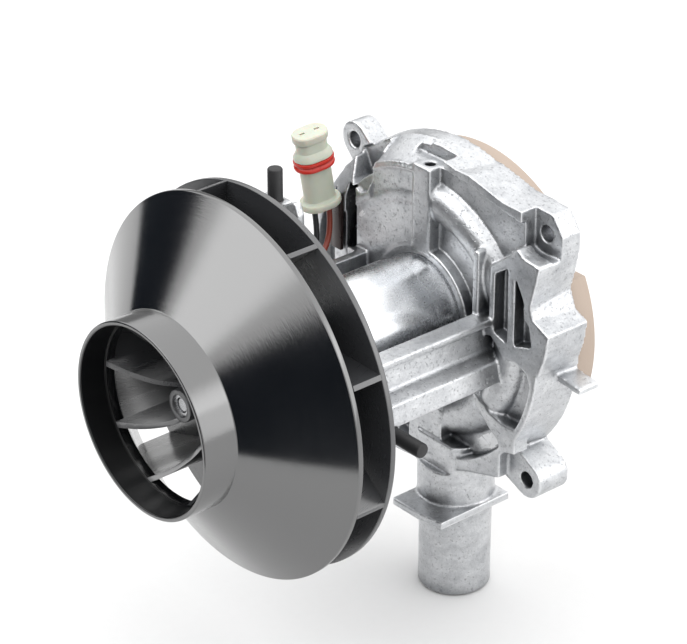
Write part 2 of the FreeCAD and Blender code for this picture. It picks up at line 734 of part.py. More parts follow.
for i in range(cover_screw_count):
    x, z = polar(cover_screw_circle, 360.0 / cover_screw_count * i + 12)
    screw_holes.append(cyl_y(cover_screw_radius, -cover_screw_length, 0, x, z))
    shank = cyl_y(cover_screw_radius, -cover_screw_length, -0.6, x, z)
    head = Part.makeCone(cover_screw_radius, cover_screw_radius + 0.9, 1.0, V(x, -1.0, z), V(0, 1, 0))
    screws.append(joined(shank, head))
housing = housing.cut(ear_holes + screw_holes)
upper_pin = cyl_z(stop_pin_radius, finger_shelf - stop_pin_grip, upper_pin_top, upper_pin_x, pin_y)
upper_pin = upper_pin.makeChamfer(0.4, [e for e in upper_pin.Edges if e.BoundBox.ZMin > upper_pin_top - 0.01])
lower_pin = cyl_x(stop_pin_radius, lower_pin_start, lower_pin_end, pin_y, lower_pin_z)
lower_pin = lower_pin.makeChamfer(0.4, [e for e in lower_pin.Edges if e.BoundBox.XMin > lower_pin_end - 0.01])
housing = housing.cut([upper_pin, lower_pin])

# Bracket of the connector stands in a slot in the housing's front
bracket_x0 = plug_x - 3.1
tilt = math.radians(plug_tilt)
bracket_x1 = bracket_x0 + bracket_width
bracket_back = housing_front
bracket_top = plug_base_z + (bracket_back - bracket_shelf - plug_y) * math.sin(tilt) - 0.05
bracket = joined(
    block(bracket_x0, bracket_x1, bracket_back - bracket_thickness, bracket_back, bracket_foot, bracket_top),
    block(bracket_x0, bracket_x1, bracket_back - bracket_shelf, bracket_back,
          bracket_top - bracket_thickness, bracket_top),
    block(bracket_x0 + bracket_side, bracket_x1 - bracket_side, bracket_back - bracket_side,
          bracket_back + bracket_tongue, bracket_foot + bracket_tongue_rise,
          bracket_foot + bracket_tongue_rise + bracket_thickness),
)
parts["connector_bracket"] = bracket
bracket_seat = block(bracket_x0 - 0.05, bracket_x1 + 0.05, bracket_back - bracket_shelf, bracket_back,
                     bracket_foot - 0.05, bracket_top)
housing = housing.cut([bracket, bracket_seat])
parts["blower_housing"] = housing
parts["upper_stop_pin"] = upper_pin
parts["lower_stop_pin"] = lower_pin

# Side-channel wheel on the rear end of the shaft
air_front = wheel_chamber_front + running_gap
air_rear = -cover_thickness - running_gap
air_outer = wheel_chamber_radius - running_gap
air_wheel = cyl_y(air_outer, air_front + air_vane_depth, air_front + air_vane_depth + air_wheel_web)
air_wheel = joined(air_wheel, cyl_y(air_hub_radius, air_front, air_rear),
                   tube_y(air_outer - 2 * channel_radius + 1.2, air_outer - 2 * channel_radius, air_front,
                          air_front + air_vane_depth + 1))
air_vanes = []
for i in range(air_vane_count):
    vane = block(air_outer - 2 * channel_radius + 0.6, air_outer - 0.6, air_front, air_front + air_vane_depth + 1,
                 -air_vane_thickness / 2, air_vane_thickness / 2)
    air_vanes.append(around_y(vane, 360.0 / air_vane_count * i))
air_wheel = joined(air_wheel, *air_vanes).cut(cyl_y(shaft_radius, -30, 5))
parts["combustion_wheel"] = air_wheel

# Cover plate with the outlet port, its screws and the insulating disc
cover = cyl_y(cover_radius, -cover_thickness, 0)
port = joined(*[cyl_y(port_radius, -5, 20, *polar(channel_circle, port_angle + a)) for a in (-9, 0, 9)])
cover = cover.cut([port] + screw_holes + screws)
parts["channel_cover"] = cover
parts["cover_screws"] = Part.makeCompound(screws)
disc = cyl_y(disc_radius, 0, disc_thickness, disc_offset_x, disc_offset_z)
disc = disc.cut(cyl_y(disc_bore_radius, -1, disc_thickness + 1))
disc_side = disc_radius * 2
disc = disc.cut([
    block(disc_notch_x, disc_side, -1, disc_thickness + 1, disc_notch_high, disc_side),
    block(disc_notch_x, disc_side, -1, disc_thickness + 1, -disc_side, disc_notch_low),
    block(-disc_side, -disc_notch_x, -1, disc_thickness + 1, disc_notch_high, disc_side),
    block(-disc_side, -disc_notch_x, -1, disc_thickness + 1, -disc_side, disc_notch_low),
])
parts["insulating_disc"] = disc.cut(port)


# Two-pole connector that stands on its bracket
def rounded_block(long_y, wide_x, z0, z1):
    """Upright block with round ends, its long side along the row of poles."""
    radius = wide_x / 2
    straight = long_y / 2 - radius
    shape = cyl_z(radius, z0, z1, 0, straight)
    shape = shape.fuse(cyl_z(radius, z0, z1, 0, -straight))
    shape = shape.fuse(block(-radius, radius, -straight, straight, z0, z1))
    return shape.removeSplitter()


def at_plug(shape):
    copy = shape.copy()
    copy.rotate(V(0, 0, 0), V(0, 0, 1), -plug_turn)
    copy.rotate(V(0, 0, plug_base_z), V(1, 0, 0), plug_tilt)
    copy.translate(V(plug_x, plug_y, 0))
    return copy


base_top = plug_base_z + plug_base_height
seal_low = base_top + plug_body_height
seal_top = seal_low + plug_seal_height
plug_top = seal_top + plug_top_height
grow = plug_base_grow * 2
plug = joined(
    rounded_block(plug_long + grow, plug_wide + grow, plug_base_z, base_top),
    rounded_block(plug_long, plug_wide, plug_base_z, seal_top + 1),
    rounded_block(plug_long + plug_shoulder * 2, plug_wide + plug_shoulder * 2, seal_top, seal_top + 1.2),
    rounded_block(plug_long + plug_shoulder, plug_wide + plug_shoulder, seal_top, seal_top + 2.2),
    rounded_block(plug_long, plug_wide, seal_top, plug_top),
    rounded_block(plug_long + plug_collar_grow * 2, plug_wide + plug_collar_grow * 2,
                  plug_top - plug_collar_height, plug_top),
)
pole_places = [(0, -pole_pitch / 2), (0, pole_pitch / 2)]
pole_holes = [cyl_z(terminal_radius + 0.35, plug_top - 6, plug_top + 1, x, y) for x, y in pole_places]
terminals = [cyl_z(terminal_radius, plug_base_z, plug_top - 3, x, y) for x, y in pole_places]
plug = plug.cut(pole_holes).cut(terminals)
parts["connector_body"] = at_plug(plug)
parts["connector_terminals"] = at_plug(Part.makeCompound(terminals))
seal_grow = plug_seal_grow * 2
lip = plug_seal_height / 2
seal = joined(
    rounded_block(plug_long + seal_grow, plug_wide + seal_grow, seal_low, seal_low + lip - 0.4),
    rounded_block(plug_long + seal_grow - 1, plug_wide + seal_grow - 1, seal_low, seal_top),
    rounded_block(plug_long + seal_grow, plug_wide + seal_grow, seal_low + lip + 0.4, seal_top),
)
seal = seal.cut(rounded_block(plug_long, plug_wide, seal_low - 1, seal_top + 1))
parts["connector_seal"] = at_plug(seal)


# Leads from the side of the can to the connector
def lead(points, radius):
    """Round lead along straight runs that are joined by tangent arcs."""
    edges = []
    last = points[0]
    for i in range(1, len(points) - 1):
        before = points[i] - points[i - 1]
        after = points[i + 1] - points[i]
        into = V(before).normalize()
        out = V(after).normalize()
        turn = into.getAngle(out)
        setback = 0.45 * min(before.Length, after.Length)
        start = points[i] - into * setback
        end = points[i] + out * setback
        inward = V(out - into).normalize()
        bend = setback / math.tan(turn / 2)
        centre = points[i] + inward * math.hypot(bend, setback)
        middle = centre - inward * bend
        print("lead bend radius", round(bend, 1))
        edges.append(Part.LineSegment(last, start).toShape())
        edges.append(Part.Arc(start, middle, end).toShape())
        last = end
    edges.append(Part.LineSegment(last, points[-1]).toShape())
    path = Part.Wire(edges)
    first = points[1] - points[0]
    ring = Part.Wire(Part.makeCircle(radius, points[0], first))
    tube = path.makePipeShell([ring], True, False)
    print("lead volume ratio", round(tube.Volume / (path.Length * math.pi * radius ** 2), 4))
    return tube


def pole_exit(side):
    turn = math.radians(-plug_turn)
    x = -side * pole_pitch / 2 * math.sin(turn)
    y = side * pole_pitch / 2 * math.cos(turn)
    return V(plug_x + x, plug_y + y * math.cos(tilt), plug_base_z + y * math.sin(tilt))


def below(point):
    """Place on the plug's leaning axis, one tail length under a pole."""
    return point + V(0, lead_tail * math.sin(tilt), -lead_tail * math.cos(tilt))


lead_start_x = -can_inner + 0.2
channel_x = -arm_inner - arm_web - 4.0
black_exit = V(lead_start_x, grommet_y, grommet_z - 1.6)
red_exit = V(lead_start_x, grommet_y, grommet_z + 1.6)
black_end = pole_exit(-1)
red_end = pole_exit(1)
black_route = [
    black_exit,
    V(channel_x, grommet_y, grommet_z - 1.6),
    V(channel_x, -45.0, 1.0),
    V(-38.6, -28.4, 3.6),
    below(black_end),
    black_end,
]
red_route = [
    red_exit,
    V(channel_x, grommet_y, grommet_z + 1.6),
    V(channel_x, -42.0, 4.0),
    V(-37.0, -26.2, 6.4),
    below(red_end),
    red_end,
]
parts["black_lead"] = lead(black_route, lead_radius)
parts["red_lead"] = lead(red_route, lead_radius)
grommet = joined(
    cyl_x(grommet_width + 0.6, -can_radius - 1.2, -can_inner, grommet_y, grommet_z - 1.6),
    cyl_x(grommet_width + 0.6, -can_radius - 1.2, -can_inner, grommet_y, grommet_z + 1.6),
)
for z in (grommet_z - 1.6, grommet_z + 1.6):
    grommet = grommet.cut(cyl_x(lead_radius + grommet_fit, -can_radius - 3, -can_inner + 1, grommet_y, z))
parts["lead_grommet"] = grommet.cut(cyl_y(can_inner, can_front, can_rear))

os.makedirs("parts", exist_ok=True)
for name, shape in parts.items():
    shape.exportStep("parts/" + name + ".step")
    box = shape.BoundBox
    print(name, len(shape.Solids), shape.isValid(), round(shape.Volume, 1),
          [round(v, 1) for v in (box.XMin, box.YMin, box.ZMin, box.XMax, box.YMax, box.ZMax)])
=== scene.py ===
# %% [markdown]
# This lesson dresses the CAD model of a heater blower: a glossy black hot-air wheel on a
# bright steel motor, carried by a raw die-cast housing. The CAD parts are loaded first,
# because they are the frame that every dressed piece has to fit, and their box is kept.

# %% Load the frame and keep its box
import math

import bpy
from mathutils import Matrix, Vector


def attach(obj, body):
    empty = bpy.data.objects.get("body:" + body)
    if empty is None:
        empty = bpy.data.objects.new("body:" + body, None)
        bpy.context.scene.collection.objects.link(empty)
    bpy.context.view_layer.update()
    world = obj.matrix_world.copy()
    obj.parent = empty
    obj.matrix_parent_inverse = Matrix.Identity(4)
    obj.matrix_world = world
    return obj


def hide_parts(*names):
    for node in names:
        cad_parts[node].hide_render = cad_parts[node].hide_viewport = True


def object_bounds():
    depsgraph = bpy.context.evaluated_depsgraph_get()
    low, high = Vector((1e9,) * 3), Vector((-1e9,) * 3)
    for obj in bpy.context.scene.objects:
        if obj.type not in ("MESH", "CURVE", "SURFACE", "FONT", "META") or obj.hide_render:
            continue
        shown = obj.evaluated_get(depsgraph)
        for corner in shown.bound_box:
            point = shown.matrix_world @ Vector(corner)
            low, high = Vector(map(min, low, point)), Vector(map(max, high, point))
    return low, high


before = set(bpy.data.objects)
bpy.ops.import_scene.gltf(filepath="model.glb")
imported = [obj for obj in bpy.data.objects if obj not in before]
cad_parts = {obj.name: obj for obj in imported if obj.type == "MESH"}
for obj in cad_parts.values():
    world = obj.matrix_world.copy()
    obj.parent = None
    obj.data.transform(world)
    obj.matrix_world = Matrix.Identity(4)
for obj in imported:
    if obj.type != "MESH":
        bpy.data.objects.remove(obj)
cad_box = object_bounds()
scene = bpy.context.scene
MM = 0.001
print("CAD nodes:", len(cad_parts))

# %% [markdown]
# The camera stands where the photographer stood: in front, to the right and above, far
# enough away for a long lens. Its place was solved from the round edges of the wheel, so
# it is given as three directions and a point that the middle of the picture looks at.

# %% Camera
CAMERA_RIGHT = Vector((0.64663, 0.76280, 0.0))
CAMERA_BACK = Vector((0.67100, -0.56850, 0.47627)).normalized()
CAMERA_UP = CAMERA_BACK.cross(CAMERA_RIGHT)
CAMERA_DISTANCE = 840.0 * MM
VIEW_SHIFT_RIGHT = 60.04 * MM
VIEW_SHIFT_UP = 29.73 * MM
WHEEL_EYE = Vector((0, -127.575 * MM, 0))
LENS = 149.05
SENSOR = 36
PHOTO_ROLL = math.radians(-0.009)


def add_camera():
    """Place the camera from its three directions and make it the scene's camera."""
    data = bpy.data.cameras.new("photo_camera")
    data.sensor_width = SENSOR
    data.lens = LENS
    data.clip_end = 20
    camera = bpy.data.objects.new("photo_camera", data)
    scene.collection.objects.link(camera)
    turn = Matrix((CAMERA_RIGHT, CAMERA_UP, CAMERA_BACK)).transposed()
    place = turn @ Vector((VIEW_SHIFT_RIGHT, VIEW_SHIFT_UP, CAMERA_DISTANCE)) + WHEEL_EYE
    roll = Matrix.Rotation(PHOTO_ROLL, 4, "Z")
    camera.matrix_world = Matrix.Translation(place) @ turn.to_4x4() @ roll
    scene.camera = camera
    return place


camera_place = add_camera()
print("camera at", [round(v, 3) for v in camera_place])

# %% [markdown]
# Every finish below is a small recipe of nodes. Writing `1 - mask` is easier to read than
# placing Math nodes by hand, so a wrapped socket turns Python sums into Math nodes, and
# one method makes every other kind of node.

# %% Node helpers
class Field:
    """An output socket that takes part in Python sums."""

    def __init__(self, paint, socket):
        self.paint = paint
        self.socket = socket

    def sum(self, operation, first, second=0.0):
        return self.paint.node("Math", {"operation": operation}, {0: first, 1: second})

    def __add__(self, other):
        return self.sum("ADD", self, other)

    def __radd__(self, other):
        return self.sum("ADD", other, self)

    def __sub__(self, other):
        return self.sum("SUBTRACT", self, other)

    def __rsub__(self, other):
        return self.sum("SUBTRACT", other, self)

    def __mul__(self, other):
        return self.sum("MULTIPLY", self, other)

    def __rmul__(self, other):
        return self.sum("MULTIPLY", other, self)

    def __truediv__(self, other):
        return self.sum("DIVIDE", self, other)

    def __pow__(self, other):
        return self.sum("POWER", self, other)


class Paint:
    """A material's or a world's node tree, and the one way to add a node to it."""

    def __init__(self, tree):
        self.tree = tree
        tree.nodes.clear()

    def node(self, kind, settings=None, inputs=None, output=0):
        made = self.tree.nodes.new("ShaderNode" + kind)
        for name, value in (settings or {}).items():
            if name == "stops":
                ramp = made.color_ramp.elements
                while len(ramp) < len(value):
                    ramp.new(0.5)
                for stop, (place, shade) in zip(ramp, value):
                    stop.position = place
                    stop.color = (*shade, 1) if isinstance(shade, tuple) else (shade, shade, shade, 1)
            else:
                setattr(made, name, value)
        for name, value in (inputs or {}).items():
            if isinstance(value, Field):
                self.tree.links.new(value.socket, made.inputs[name])
            else:
                made.inputs[name].default_value = value
        return Field(self, made.outputs[output]) if len(made.outputs) else None

    def place(self):
        """Object coordinates in metres, as a vector."""
        return self.node("TexCoord", output="Object")

    def axes(self, vector):
        """The three parts of a vector as three numbers."""
        first = self.node("SeparateXYZ", inputs={0: vector})
        outputs = first.socket.node.outputs
        return [Field(self, outputs[i]) for i in range(3)]

    def vector(self, x, y, z):
        return self.node("CombineXYZ", inputs={0: x, 1: y, 2: z})

    def noise(self, vector, scale, detail=3.0, roughness=0.55):
        inputs = {"Vector": vector, "Scale": scale, "Detail": detail, "Roughness": roughness}
        return self.node("TexNoise", inputs=inputs)

    def ramp(self, value, *stops):
        return self.node("ValToRGB", {"stops": stops}, {0: value})

    def step(self, value, low, high):
        """Rise smoothly from 0 at low to 1 at high."""
        inputs = {"Value": value, "From Min": low, "From Max": high}
        return self.node("MapRange", {"interpolation_type": "SMOOTHSTEP"}, inputs)

    def mix(self, share, first, second):
        """Mix two colours by a share."""
        inputs = {0: share, 6: first, 7: second}
        return self.node("Mix", {"data_type": "RGBA"}, inputs, output=2)

    def bump(self, height, distance, strength=1.0):
        inputs = {"Height": height, "Distance": distance, "Strength": strength}
        return self.node("Bump", inputs=inputs)


def rgb(red, green, blue):
    return (red, green, blue, 1.0)


def new_finish(name):
    """An empty material and its Paint."""
    material = bpy.data.materials.new(name)
    material.use_nodes = True
    return material, Paint(material.node_tree)


def seal_finish(paint, **sockets):
    """Close a recipe with the shader. Keys are its sockets' names with _ for a space."""
    inputs = {key.replace("_", " "): value for key, value in sockets.items()}
    shader = paint.node("BsdfPrincipled", inputs=inputs)
    paint.node("OutputMaterial", inputs={"Surface": shader})


# %% [markdown]
# The photograph was taken in a white tent that is open at the front: the ceiling is one
# large soft light, the front is dark, and brighter panels stand at the front left, at the
# left and at the right behind. The world's light is drawn from the direction alone, with
# the opening between two compass angles, so the glossy wheel mirrors exactly these bands.
# Each panel has its compass angle and height, the angles within which it is full and
# beyond which it is gone, and its strength. The last one takes light away from the wall.

# %% Studio light
CEILING_LOW = math.sin(math.radians(16.5))
CEILING_HIGH = math.sin(math.radians(21.5))
CEILING_LIGHT = 1.8
WALL_LIGHT = 0.95
OPENING_LIGHT = (0.020, 0.026, 0.036)
OPENING_LEFT = -92.0
OPENING_RIGHT = 32.0
OPENING_FADE = 3.5
DEGREES = 180 / math.pi
PANELS = (
    (-28.0, 38.0, 17.0, 27.0, 1.3),
    (124.0, 12.0, 14.0, 34.0, 1.5),
    (-106.0, -24.0, 12.0, 26.0, 0.7),
    (-128.0, 6.0, 10.0, 26.0, -0.5),
)


def towards(azimuth, height=0.0):
    """A direction from its azimuth, counted from the front to the right, and its height."""
    a = math.radians(azimuth)
    h = math.radians(height)
    return Vector((math.sin(a) * math.cos(h), -math.cos(a) * math.cos(h), math.sin(h)))


def near(paint, direction, middle, inner, outer):
    """1 within inner degrees of a direction, falling to 0 at outer degrees."""
    inputs = {0: direction, 1: middle}
    facing = paint.node("VectorMath", {"operation": "DOT_PRODUCT"}, inputs, output="Value")
    return paint.step(facing, math.cos(math.radians(outer)), math.cos(math.radians(inner)))


def light_studio():
    """A world with a soft ceiling, pale walls, a dark opening and brighter panels."""
    world = bpy.data.worlds.new("studio")
    world.use_nodes = True
    scene.world = world
    paint = Paint(world.node_tree)
    direction = paint.node("TexCoord", output="Generated")
    across, depth, height = paint.axes(direction)
    compass = across.sum("ARCTAN2", across, 0.0 - depth) * DEGREES
    past_left = paint.step(compass, OPENING_LEFT - OPENING_FADE, OPENING_LEFT + OPENING_FADE)
    past_right = paint.step(compass, OPENING_RIGHT - OPENING_FADE, OPENING_RIGHT + OPENING_FADE)
    opening = past_left * (1 - past_right)
    raised = paint.step(height, CEILING_LOW, CEILING_HIGH)
    light = WALL_LIGHT + (CEILING_LIGHT - WALL_LIGHT) * raised
    for azimuth, lift, inner, outer, strength in PANELS:
        light = light + strength * near(paint, direction, towards(azimuth, lift), inner, outer)
    white = paint.vector(light, light, light)
    shade = paint.mix(opening * (1 - raised), white, rgb(*OPENING_LIGHT))
    background = paint.node("Background", inputs={"Color": shade, "Strength": 1.0})
    paint.node("OutputWorld", inputs={"Surface": background})


light_studio()
scene.view_settings.view_transform = "Standard"

# %% [markdown]
# The object stands on a round sheet of white paper. Its front edge lies just in front
# of the wheel, so the wheel mirrors the dark opening and not more paper.

# %% Floor
FLOOR_TOP = cad_box[0][2] - 0.5 * MM
FLOOR_RADIUS = 1.6
FLOOR_FRONT = 0.15
FLOOR_TOWARDS = 18.0
PAPER = 0.68
FIBRE_LIFT = 0.02
FIBRE_SCALE = 300.0


def add_floor():
    middle = WHEEL_EYE - towards(FLOOR_TOWARDS) * (FLOOR_RADIUS - FLOOR_FRONT)
    bpy.ops.mesh.primitive_circle_add(vertices=96, radius=FLOOR_RADIUS, fill_type="NGON",
                                      location=(middle.x, middle.y, FLOOR_TOP))
    floor = bpy.context.object
    floor.name = "floor"
    material, paint = new_finish("white_paper")
    fibre = paint.noise(paint.place(), FIBRE_SCALE)
    light = PAPER + FIBRE_LIFT
    tone = paint.mix(fibre, rgb(PAPER, PAPER, PAPER), rgb(light, light, light))
    seal_finish(paint, Base_Color=tone, Roughness=0.9)
    floor.data.materials.append(material)


add_floor()
print("floor at", round(FLOOR_TOP, 4))

# %% [markdown]
# Modelling by hand means selecting, extruding and spinning. These helpers keep that
# short: one turns an outline round the motor axis, one lofts rings, one copies a piece.

# %% Modelling helpers
AXIS = Vector((0, 1, 0))


def select_only(piece):
    if bpy.context.object and bpy.context.object.mode != "OBJECT":
        bpy.ops.object.mode_set(mode="OBJECT")
    bpy.ops.object.select_all(action="DESELECT")
    piece.select_set(True)
    bpy.context.view_layer.objects.active = piece


def edit_all(piece):
    select_only(piece)
    bpy.ops.object.mode_set(mode="EDIT")
    bpy.ops.mesh.select_all(action="SELECT")


def leave_edit():
    bpy.ops.object.mode_set(mode="OBJECT")


def close_shape(piece, angle=30, gap=0.004):
    """Merge doubles, point the faces outwards and shade smooth below an angle."""
    edit_all(piece)
    bpy.ops.mesh.remove_doubles(threshold=gap * MM)
    bpy.ops.mesh.normals_make_consistent(inside=False)
    leave_edit()
    bpy.ops.object.shade_smooth_by_angle(angle=math.radians(angle))


def modify(piece, kind, **settings):
    """Add a modifier, set it and apply it."""
    select_only(piece)
    made = piece.modifiers.new(kind.lower(), kind)
    for key, value in settings.items():
        setattr(made, key, value)
    bpy.ops.object.modifier_apply(modifier=made.name)


def rounded(outline, radius, steps=4):
    """Round the corners of a closed outline. A corner with a third value has its own radius."""
    smooth = []
    count = len(outline)
    for i, corner in enumerate(outline):
        here = Vector(corner[:2])
        size = corner[2] if len(corner) > 2 else radius
        before = Vector(outline[i - 1][:2]) - here
        after = Vector(outline[(i + 1) % count][:2]) - here
        turn = before.angle(after)
        if size <= 0 or turn > math.radians(172) or turn < math.radians(4):
            smooth.append(tuple(here))
            continue
        back = min(size / math.tan(turn / 2), 0.48 * before.length, 0.48 * after.length)
        size = back * math.tan(turn / 2)
        middle = here + (before.normalized() + after.normalized()).normalized() * math.hypot(back, size)
        start = here + before.normalized() * back - middle
        swing = start.angle_signed(here + after.normalized() * back - middle)
        for step in range(steps + 1):
            part = start.copy()
            part.rotate(Matrix.Rotation(-swing * step / steps, 2))
            smooth.append(tuple(middle + part))
    return smooth


def ring_of(points):
    """A closed loop of edges through points in millimetres, left in edit mode and selected."""
    bpy.ops.mesh.primitive_circle_add(vertices=len(points), radius=1)
    piece = bpy.context.object
    for vertex, point in zip(piece.data.vertices, points):
        vertex.co = Vector(point) * MM
    edit_all(piece)
    return piece


def lathe(name, outline, steps=180, angle=30):
    """Turn a closed outline of (radius, y) points round the motor axis."""
    piece = ring_of([(r, y, 0) for r, y in outline])
    piece.name = name
    bpy.ops.mesh.spin(steps=steps, angle=2 * math.pi, center=(0, 0, 0), axis=AXIS)
    leave_edit()
    close_shape(piece, angle)
    return piece


def loft(name, rings, angle=35, hollow=False):
    """Extrude a first ring through the others. It is capped, or bridged back if hollow."""
    piece = ring_of(rings[0])
    piece.name = name
    if not hollow:
        bpy.ops.mesh.edge_face_add()
    count = len(rings[0])
    for ring in rings[1:]:
        bpy.ops.mesh.extrude_region_move()
        leave_edit()
        fresh = [v for v in piece.data.vertices if v.select]
        for vertex, point in zip(fresh, ring):
            vertex.co = Vector(point) * MM
        bpy.ops.object.mode_set(mode="EDIT")
    leave_edit()
    if hollow:
        last = len(piece.data.vertices) - count
        for vertex in piece.data.vertices:
            vertex.select = vertex.index < count or vertex.index >= last
        bpy.ops.object.mode_set(mode="EDIT")
        bpy.ops.mesh.select_mode(type="VERT")
        bpy.ops.mesh.bridge_edge_loops()
        leave_edit()
    close_shape(piece, angle)
    return piece


def rod(name, start, outline, along, steps=32):
    """A round bar from (radius, place along the bar) pairs, lofted ring by ring."""
    side = Vector((0, 1, 0))
    up = Vector(along).cross(side)
    rings = []
    for radius, far in outline:
        middle = Vector(start) + Vector(along) * far
        turns = [2 * math.pi * i / steps for i in range(steps)]
        rings.append([middle + radius * (side * math.cos(t) + up * math.sin(t)) for t in turns])
    return loft(name, rings)


def cord(name, points, radius):
    """A round lead as a curve that is pulled towards its corner points."""
    bpy.ops.curve.primitive_nurbs_path_add()
    piece = bpy.context.object
    piece.name = name
    spline = piece.data.splines[0]
    missing = len(points) - len(spline.points)
    if missing > 0:
        spline.points.add(missing)
    for place, point in zip(spline.points, points):
        place.co = (*(Vector(point) * MM), 1)
    spline.order_u = 3
    spline.use_endpoint_u = True
    spline.resolution_u = 16
    piece.data.bevel_depth = radius * MM
    piece.data.bevel_resolution = 5
    piece.data.use_fill_caps = True
    return piece


def dress(piece, body, finish, slot, *nodes):
    """Give a piece its finish, fix it to a body and let it stand for CAD nodes."""
    piece.data.materials.clear()
    piece.data.materials.append(finish)
    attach(piece, body)
    if nodes:
        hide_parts(*nodes)
    print(piece.name, len(piece.data.polygons) if piece.type == "MESH" else "curve")


# %% [markdown]
# The wheel is moulded in black glass-filled nylon. Its gloss is strong, and very fine
# lines run round the axis from the turned mould. The lines come from noise that is
# stretched along the circle: its coordinates change fast with radius and depth, and
# slowly with the direction, which has no seam because it is a point on a circle. The
# vanes come from another, duller half of the mould, and so does the inside of the neck.

# %% Black plastic
NECK_BORE = (0.0300, 0.0308)
NECK_DEPTH = (-0.119, -0.117)
DULL_ROUGHNESS = 0.32
DULL_INDEX = 1.35


def make_wheel_plastic(name, dark, light, gloss_roughness, index):
    """Black plastic with turned lines, and a duller shader inside the neck."""
    material, paint = new_finish(name)
    place = paint.place()
    x, y, z = paint.axes(place)
    radius = (x * x + z * z) ** 0.5 + 0.0001
    circle = paint.vector(x / radius * 20, radius * 2500 + y * 700, z / radius * 20)
    fine = paint.noise(circle, 1.0, 3.0, 0.65)
    broad = paint.noise(paint.vector(x / radius * 0.8, radius * 700, z / radius * 0.8), 1.0, 2.0)
    cloud = paint.noise(place, 60.0)
    grain = paint.noise(place, 2600.0, 2.0)
    tone = paint.mix(cloud, rgb(*dark), rgb(*light))
    rough = gloss_roughness + 0.08 * fine + 0.05 * cloud + 0.04 * broad
    relief = paint.bump(fine * 1.2 + broad * 0.6 + grain * 0.4, 0.03 * MM, 0.5)
    gloss = {"Base Color": tone, "Roughness": rough, "IOR": index, "Normal": relief}
    dull = {"Base Color": tone, "Roughness": DULL_ROUGHNESS, "IOR": DULL_INDEX, "Normal": relief}
    in_neck = (1 - paint.step(radius, *NECK_BORE)) * (1 - paint.step(y, *NECK_DEPTH))
    shaders = [paint.node("BsdfPrincipled", inputs=inputs) for inputs in (gloss, dull)]
    both = paint.node("MixShader", inputs={0: in_neck, 1: shaders[0], 2: shaders[1]})
    paint.node("OutputMaterial", inputs={"Surface": both})
    return material


SHROUD_TONES = ((0.0016, 0.0018, 0.0021), (0.0042, 0.0045, 0.0052))
VANE_TONES = ((0.020, 0.021, 0.023), (0.034, 0.035, 0.038))
black_plastic = make_wheel_plastic("black_plastic", *SHROUD_TONES, 0.05, 2.4)
vane_plastic = make_wheel_plastic("vane_plastic", *VANE_TONES, 0.20, 2.0)

# %% [markdown]
# The shroud is a neck and a flat cone with one thin wall. Both come from one outline
# that is spun round the axis, so the mirror-like bands stay smooth, and its edges are
# rounded a little because a moulded rim never ends in a sharp corner.

# %% Wheel shroud
WHEEL_R = 62.0
NECK_R = 31.5
THROAT_R = 29.4
FRONT_Y = -127.6
CONE_Y = -115.8
RIM_Y = -95.3
CONE_RISE = (RIM_Y - CONE_Y) / (WHEEL_R - NECK_R)
CONE_WALL = 1.6 * math.hypot(1, CONE_RISE)
STEP_Y = -118.5
PLATE_Y = -83.2
PLATE_BACK = -81.2


def cone_inside(r):
    return CONE_Y + (r - NECK_R) * CONE_RISE + CONE_WALL


shroud_outline = rounded([
    (30.0, FRONT_Y, 0.45), (NECK_R, FRONT_Y, 0.45), (NECK_R, CONE_Y, 0.5),
    (WHEEL_R, RIM_Y, 0.5), (WHEEL_R, cone_inside(WHEEL_R), 0.3),
    (THROAT_R, cone_inside(THROAT_R), 0.6), (THROAT_R, STEP_Y, 0.15), (30.0, STEP_Y, 0.1),
], 0.3)
shroud = lathe("shroud_dressed", shroud_outline, steps=240)
dress(shroud, "rotor", black_plastic, "wheel_plastic", "wheel_shroud")

# %% [markdown]
# Back plate and hub are one more spun outline. Each vane is a curved line, drawn as a
# curve through the places where the vane was measured, pulled out along the axis, given
# its thickness, and cut by the room between plate, shroud and the bowed leading edge.

# %% Back plate, hub and vanes
VANES = 9
VANE_WALL = 1.5
VANE_START = 4.0
VANE_END = 61.95
VANE_ROOT = 4.3
VANE_BOW = 3.0
TIP_ANGLE = 22.6
SWEEP = ((0.085, 47.9), (0.237, 47.4), (0.339, 42.2), (0.482, 28.3), (0.73, 9.0), (1.02, -0.6))
HUB_R = 5.3
HUB_FRONT = -112.9
HUB_EDGE = -96.6

plate_outline = rounded([
    (2.5, HUB_FRONT + 1.4, 0), (3.5, HUB_FRONT + 1.4, 0), (3.5, HUB_FRONT, 0.25), (HUB_R, HUB_FRONT, 0.35),
    (HUB_R, HUB_EDGE, 0), (7.5, PLATE_Y, 1.2), (WHEEL_R, PLATE_Y, 0.35), (WHEEL_R, PLATE_BACK, 0.5),
    (10.5, PLATE_BACK, 1.0), (8.5, PLATE_BACK + 3.4, 0.4), (2.5, PLATE_BACK + 3.4, 0),
], 0.3)
vane_plate = lathe("vane_wheel_dressed", plate_outline, steps=240)


def vane_room():
    """The space of the vanes, as a solid that cuts them to shape."""
    edge = []
    for step in range(13):
        t = step / 12
        bow = 4 * VANE_BOW * t * (1 - t)
        edge.append((THROAT_R + (VANE_ROOT - THROAT_R) * t, STEP_Y + (HUB_EDGE - STEP_Y) * t + bow))
    outline = edge + [(VANE_ROOT, PLATE_Y + 1), (VANE_END, PLATE_Y + 1), (VANE_END, cone_inside(VANE_END)),
                      (THROAT_R, cone_inside(THROAT_R))]
    return lathe("vane_room", outline, steps=96)


